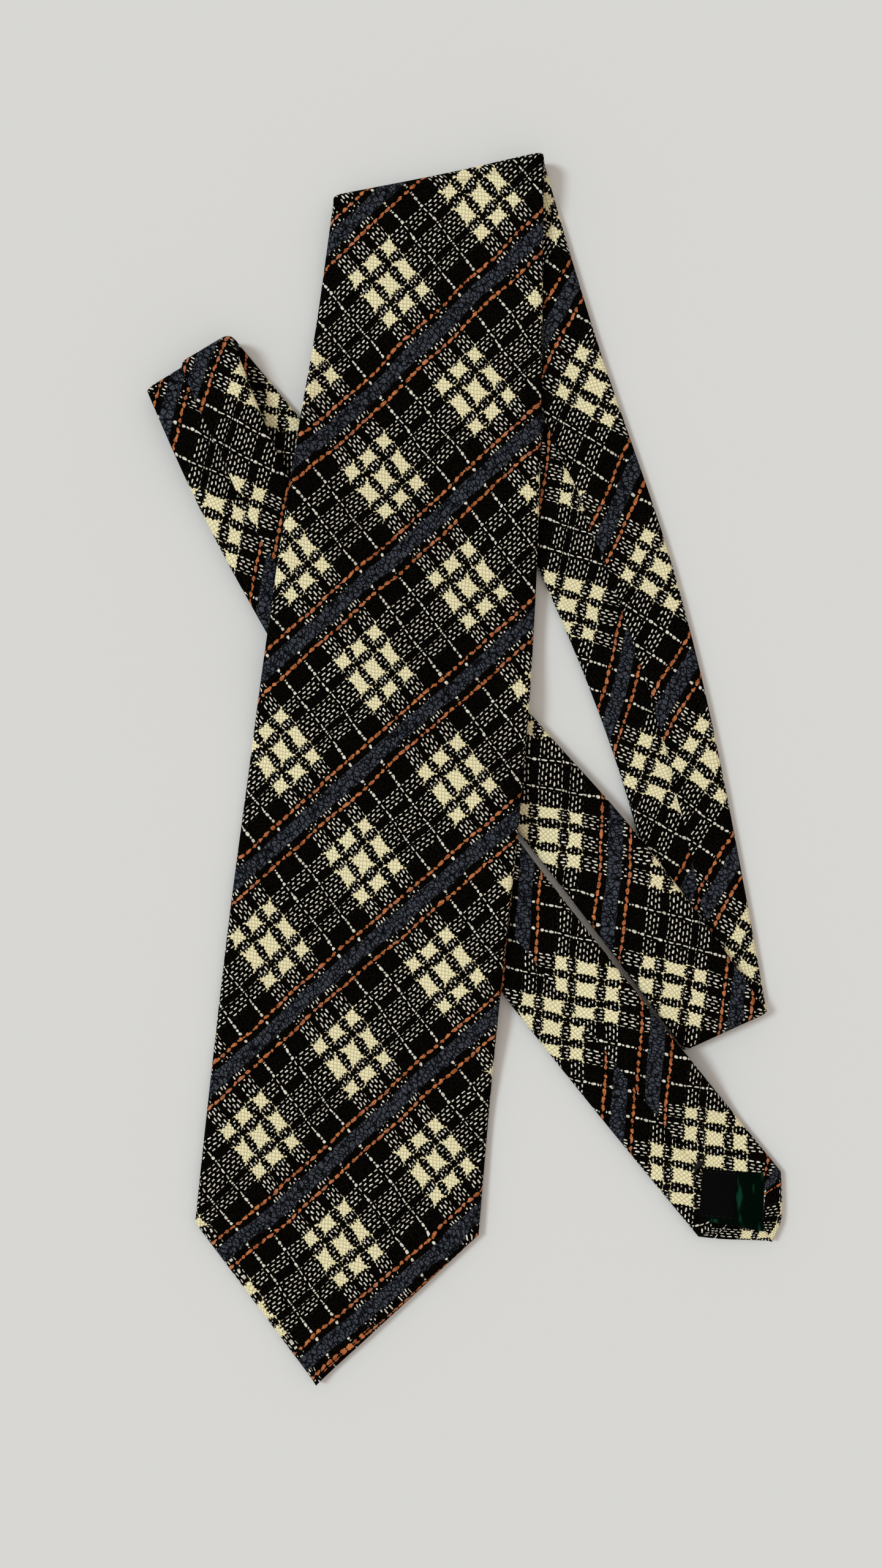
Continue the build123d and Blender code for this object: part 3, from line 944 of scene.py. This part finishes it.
def set_back(fold, ring):
    """A fold's share of its full reach: less on the left one's pulled-in side, and at its ends."""
    if fold is not LEFT_FOLD:
        return np.ones(len(ring))
    a, d, length = crease_frame(fold)
    x = (ring[:, :2] - a) @ d
    reach = 0.32 + 0.68 * smoothstep((x - 13.6) / 2.0)
    ends = np.clip(np.minimum(x + 0.5, length + 0.5 - x) / 4.5, 0.05, 1)
    return reach * (1 - (1 - ends) ** 2) ** 0.5


shell_piece("blade_back_cloth", BACK, "blade_shell_back", 1)
shell_piece("neck_back_cloth", BACK, "neck_shell_back", -1)
shell_piece("neck_front_cloth", NECK, "neck_shell_front", 1)
shell_piece("tail_front_cloth", NECK, "tail_shell_front", -1)
shell_piece("tail_back_cloth", TAIL, "tail_shell_back")
shell_piece("blade_front_cloth", BLADE, "blade_shell_front")

# Each fold's name, the stretch under it with the ring it starts from, the stretch above and the crease.
FOLDS = (
    ("top_fold", BACK, 0, BLADE, TOP_FOLD),
    ("corner_fold", BACK, -1, NECK, CORNER_FOLD),
    ("left_fold", NECK, -1, TAIL, LEFT_FOLD),
)
for node, *where in FOLDS:
    fold_piece(*where)


# ---- sheets inside

def level(stretch, plan, depth):
    """The height of a depth below the stretch's front cloth."""
    return at_grid(stretch["under"], plan) + (TIE - depth if stretch["front_up"] else depth)


def raised(stretch, plan, depth):
    """A point of the plan at a depth below the stretch's front cloth."""
    return np.array([*plan, float(level(stretch, plan, depth))])


def inner_grid(stretch, inset, depth, length=None, columns=24):
    """A grid inside a stretch or its last length, inset from both edges, at one depth below the front."""
    line = stretch["line"]
    run, width = line["run"], line["width"]
    rows = (run >= run[-1] - (length or run[-1]) - 1e-6) & (width > 2.6 * inset)
    x = inset + np.outer(width[rows] - 2 * inset, np.linspace(0, 1, columns))
    plan = line["a"][rows, None] + line["across"][rows, None] * x[..., None]
    return np.dstack([plan, level(stretch, plan, depth)])


def thread_mesh(name, stitches, radius, slot="thread"):
    """Short rounded threads, each from one point to another over a small rise, in millimetres."""
    rings, around = 7, 6
    verts, faces = [], []
    angle = np.linspace(0, 2 * pi, around, endpoint=False)
    for a, b, rise in stitches:
        a, b = np.array(a, float), np.array(b, float)
        d = unit(b - a)
        side = unit(np.cross(d, (0, 0, 1)))
        up = np.cross(side, d)
        first = len(verts)
        for t in np.linspace(0.02, 0.98, rings):
            centre = a + (b - a) * t + np.array([0, 0, 1]) * rise * sin(pi * t)
            r = radius * (1 - (2 * t - 1) ** 4) ** 0.5
            verts += [(centre + r * (cos(w) * side + sin(w) * up)) * MM for w in angle]
        corner = first + np.arange(rings * around).reshape(rings, around)
        turned = np.roll(corner, -1, axis=1)
        faces += np.stack([corner[:-1], turned[:-1], turned[1:], corner[1:]], -1).reshape(-1, 4).tolist()
        faces += [corner[0][::-1].tolist(), corner[-1].tolist()]
    mesh = bpy.data.meshes.new(name)
    mesh.from_pydata([tuple(v) for v in verts], [], faces)
    mesh.polygons.foreach_set("use_smooth", [True] * len(faces))
    return dress(add_object(name, mesh), slot)


CLOTH_OF = {
    "blade": "blade_front_cloth",
    "back": "blade_back_cloth",
    "neck": "neck_front_cloth",
    "tail": "tail_back_cloth",
}
# The rows of a stretch's canvas that its folds' felts take over.
FELT_TURN = 3


def laid_piece(name, node, points, thickness, slot, body):
    """A sheet that rides on a body."""
    obj = grid_mesh(name, points)
    thicken(obj, thickness, 0.0)
    dress(obj, slot)
    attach(obj, body)
    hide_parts(node)


CANVAS = {s["name"]: inner_grid(s, 2.4, CANVAS_DEPTH) for s in (BACK, NECK, TAIL, BLADE)}
for stretch in (BLADE, BACK, NECK, TAIL):
    node = stretch["name"]
    rows = CANVAS[node][FELT_TURN:] if stretch["tip"] else CANVAS[node][FELT_TURN:-FELT_TURN]
    name, body, under = "interlining_" + node, MOVES_WITH[node], CLOTH_OF[node]
    laid_piece(name + "_felt", name, rows, CANVAS_THICK, "interlining", body)

for node, lower, ring, upper, fold in FOLDS:
    below, above = CANVAS[lower["name"]], CANVAS[upper["name"]]
    near = below[FELT_TURN:0:-1] if ring == 0 else below[-1 - FELT_TURN:-1]
    low, high = below[ring], above[0]
    crease = np.append(crease_frame(fold)[1], 0)
    share = np.min([set_back(fold, low + shift * crease) for shift in (-2, -1, 0, 1, 2)], axis=0)
    room = FOLD_IN * share - CLOTH - CANVAS_THICK / 2
    reach = np.clip((high[:, 2] - low[:, 2]) / 2, 0.0, np.maximum(room, 0.0))
    bend = np.concatenate([near, fold_grid(low, high, fold, reach, 10), above[1:FELT_TURN + 1]])
    felt = grid_mesh("interlining_%s_felt" % node, bend)
    thicken(felt, CANVAS_THICK, 0.0)
    dress(felt, "interlining")
    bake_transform(felt)
    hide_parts("interlining_" + node)
    upper["name"] + "_fold_cloth"


# ---- linings, label and keeper loop

LABEL_UP = np.array([-sin(radians(LABEL_TURN)), cos(radians(LABEL_TURN))])
LABEL_ACROSS = sideways(LABEL_UP)


def tipping(stretch):
    """The satin lining in the back of a point, creased where the flaps leave it free."""
    rows = inner_grid(stretch, SATIN_INSET, SATIN_DEPTH, TIPPING_LENGTH[stretch["name"]], 70)
    plan = rows[..., :2].copy()
    outline = np.array(stretch["opening"])
    centre = outline.mean(0)
    free = np.zeros(plan.shape[:-1])
    for grow in np.linspace(0.55, 0.95, 6):
        free += inside(plan, centre + (outline - centre) * grow) / 6
    x, y = plan[..., 0], plan[..., 1]
    crease = np.abs(np.sin((x * 0.42 + y * 0.30) + 0.9 * np.sin(y * 0.21 + 1))) ** 3
    crease += 0.5 * np.sin(x * 0.23 - y * 0.37 + 2) ** 2
    if stretch is TAIL:
        off = plan - np.array(LABEL_CENTRE)
        past_side = abs(off @ LABEL_ACROSS) - LABEL_SIZE[0] / 2
        past_end = abs(off @ LABEL_UP) - LABEL_SIZE[1] / 2
        free = free * smoothstep(np.maximum(past_side, past_end) / 2.5)
    lift = free * crease * 0.55
    rows[..., 2] += -lift if stretch["front_up"] else lift
    body, under = MOVES_WITH[stretch["name"]], "interlining_%s_felt" % stretch["name"]
    name = stretch["name"] + "_tipping"
    laid_piece(name + "_satin", name, rows, SATIN_THICK, "satin_lining", body)


tipping(BLADE)
tipping(TAIL)


def ribbon_grid(stretch, centre, direction, size, depth, counts):
    """A flat grid of that size, following the stretch at one depth."""
    x = np.linspace(-size[0] / 2, size[0] / 2, counts[0])
    y = np.linspace(-size[1] / 2, size[1] / 2, counts[1])
    plan = centre + y[:, None, None] * direction + x[None, :, None] * sideways(direction)
    return np.dstack([plan, level(stretch, plan, depth)])


def thread_piece(stretch, name, ending, stitches, radius):
    """Stitches that ride with their stretch. Their node has the same name with its own ending."""
    threads = thread_mesh(name + "_threads", stitches, radius)
    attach(threads, MOVES_WITH[stretch["name"]])
    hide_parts(name + ending)


def stitch(stretch, spot, half, depth, rise):
    """One stitch, from half before a spot to half after it, at a depth and over a small rise."""
    return raised(stretch, spot - half, depth), raised(stretch, spot + half, depth), rise


LABEL_PLACES = (14, 18)
label_points = ribbon_grid(TAIL, LABEL_CENTRE, LABEL_UP, LABEL_SIZE, LABEL_DEPTH, LABEL_PLACES)
label_x, label_y = (np.linspace(-1, 1, count) for count in LABEL_PLACES)
label_points[..., 2] += 0.22 * (1 - label_y[:, None] ** 2) * np.cos(label_x * 2.2)
under = "tail_tipping_satin"
laid_piece("tail_label_blank", "tail_label", label_points, LABEL_THICK, "woven_label", "tail_stretch")

label_stitches = []
for end in (-1, 1):
    row = np.array(LABEL_CENTRE) + LABEL_UP * end * (LABEL_SIZE[1] / 2 - 0.9)
    for k in range(5):
        spot = row + LABEL_ACROSS * (k - 1.6) * 2.1
        label_stitches.append(stitch(TAIL, spot, LABEL_ACROSS * 0.6, LABEL_DEPTH + 0.1, 0.12))
thread_piece(TAIL, "tail_label", "_stitches", label_stitches, 0.13)

KEEPER_PLACES = (49, 10)
keeper_centre, keeper_up = keeper_frame()
keeper_across = sideways(keeper_up)
keeper_points = ribbon_grid(BLADE, keeper_centre, keeper_up, KEEPER, TIE + 0.32, KEEPER_PLACES)
keeper_x = np.linspace(-KEEPER[0] / 2, KEEPER[0] / 2, KEEPER_PLACES[0])
sewn_down = 1 - smoothstep((KEEPER[0] / 2 - np.abs(keeper_x) - 1) / KEEPER_END)
keeper_points[..., 2] += 0.16 * sewn_down
name, body, under = "keeper_loop", "blade_stretch", "blade_front_cloth"
laid_piece(name + "_ribbon", name, keeper_points, KEEPER_THICK, "keeper_ribbon", body)

keeper_stitches = []
for end in (-1, 1):
    for k in range(7):
        spot = keeper_centre + keeper_across * end * (KEEPER[0] - KEEPER_END) / 2 + keeper_up * (k - 3) * 2.7
        keeper_stitches.append(stitch(BLADE, spot, keeper_up * 0.9, TIE + 0.3, -0.1))
thread_piece(BLADE, "keeper_loop", "_stitches", keeper_stitches, 0.14)


# ---- threads

def slip_stitches(stretch):
    """Slanting stitches along the lapped seam, every 5 mm."""
    line = stretch["line"]
    first, second = flap_ends(stretch, line["a"], line["b"], line["width"])
    closed = (first - second) * line["width"] > 1.0
    seam = (line["a"] + line["across"] * (second * line["width"])[:, None])[closed]
    at = np.arange(4, along(seam)[-1] - 3, 5.0)
    spots = pick(seam, at)
    headings = unit(pick(seam, at + 0.5) - spots)
    slants = [d * 0.9 + sideways(d) * 0.35 for d in headings]
    return [stitch(stretch, spot, slant, SLIP_DEPTH, 0.05) for spot, slant in zip(spots, slants)]


def bar_tack(stretch, rise):
    """A close bundle of long stitches across the seam, just before the opening's apex."""
    apex, tip = np.array(stretch["opening"][0]), np.array(stretch["opening"][2])
    d = unit(tip - apex)
    stitches = []
    for k in range(7):
        spot = apex - d * (BAR_TACK[1] * 2 + (k - 3) * 0.2)
        half = sideways(d) * (BAR_TACK[0] / 2 - 0.25 * (k % 2)) + d * 0.12 * (-1) ** k
        stitches.append(stitch(stretch, spot, half, TIE - 0.05, rise))
    return stitches


def tipping_stitches(stretch, rise):
    """Stitches that hold the lining along the two hems of the point."""
    corners = np.array(stretch["opening"])
    stitches = []
    for p, q in ((corners[1], corners[2]), (corners[2], corners[3])):
        length = np.linalg.norm(q - p)
        d = (q - p) / length
        for at in np.arange(2.0, length - 2.0, 2.6):
            spot = p + d * at
            spot = spot + unit(corners.mean(0) - spot) * 0.25
            stitches.append(stitch(stretch, spot, d * 0.7, LABEL_DEPTH, rise))
    return stitches


def join_stitches(stretch):
    """Stitches across a stretch along its diagonal join."""
    place, turn = join_line(stretch, JOIN_BACK[stretch["name"]])
    d = np.array([cos(radians(turn)), sin(radians(turn))])
    ring = np.vstack([stretch["line"]["a"], stretch["line"]["b"][::-1]])
    stitches = []
    for at in np.arange(-60, 60, 3.2):
        spot = place + d * at
        if inside(spot + d * 3, ring) and inside(spot - d * 3, ring):
            stitches.append(stitch(stretch, spot, d * 1.2, JOIN_DEPTH, 0.0))
    return stitches


for stretch in (BLADE, BACK, NECK, TAIL):
    name = stretch["name"]
    thread_piece(stretch, "slip_stitch_" + name, "", slip_stitches(stretch), 0.12)
    if stretch["opening"]:
        rise = -0.25 if stretch["front_up"] else 0.25
        thread_piece(stretch, name + "_bar_tack", "", bar_tack(stretch, rise), 0.16)
        thread_piece(stretch, name + "_tipping", "_seam", tipping_stitches(stretch, rise * 0.4), 0.11)

thread_piece(BACK, "blade_join", "_seam", join_stitches(BACK), 0.12)
thread_piece(NECK, "tail_join", "_seam", join_stitches(NECK), 0.12)


# ---- stage and camera

FLOOR_HALF, FLOOR_LEVEL = 3, -0.0005
floor_mesh = bpy.data.meshes.new("floor")
floor_corners = ((-1, -1), (1, -1), (1, 1), (-1, 1))
outline = [(x * FLOOR_HALF, y * FLOOR_HALF, FLOOR_LEVEL) for x, y in floor_corners]
floor_mesh.from_pydata(outline, [], [(0, 1, 2, 3)])
floor = add_object("floor", floor_mesh)
floor_mesh.materials.append(material("floor_paint", "", (0.70, 0.70, 0.70), 0.8, specular_ior_level=0.1)[0])

# A cool soft window from the left, and a warm even room.
sun_data = bpy.data.lights.new("window", "SUN")
sun_data.energy, sun_data.angle, sun_data.color = 1.6, radians(16), (0.80, 0.94, 1.0)
sun = add_object("window", sun_data)
sun.rotation_euler = Vector((0.72, -0.16, -0.76)).to_track_quat("-Z", "Y").to_euler()
world = bpy.data.worlds.new("room")
bpy.context.scene.world = world
world.use_nodes = True
world.node_tree.nodes["Background"].inputs[0].default_value = (0.97, 0.885, 0.80, 1)
world.node_tree.nodes["Background"].inputs[1].default_value = 0.70

# From straight above, with that much of the table along the picture's tall side at the tie's mid-height.
HEIGHT, MID_TIE, TALL_SIDE, SENSOR = 0.5, 0.004, 0.56, 36
camera_data = bpy.data.cameras.new("camera")
camera = add_object("camera", camera_data)
camera.location = (-0.0084, -0.0057, HEIGHT)
camera.rotation_euler = (0, 0, 0)
camera_data.sensor_width = SENSOR
camera_data.lens = SENSOR * (HEIGHT - MID_TIE) / TALL_SIDE
bpy.context.scene.camera = camera
bpy.context.scene.view_settings.view_transform = "Standard"
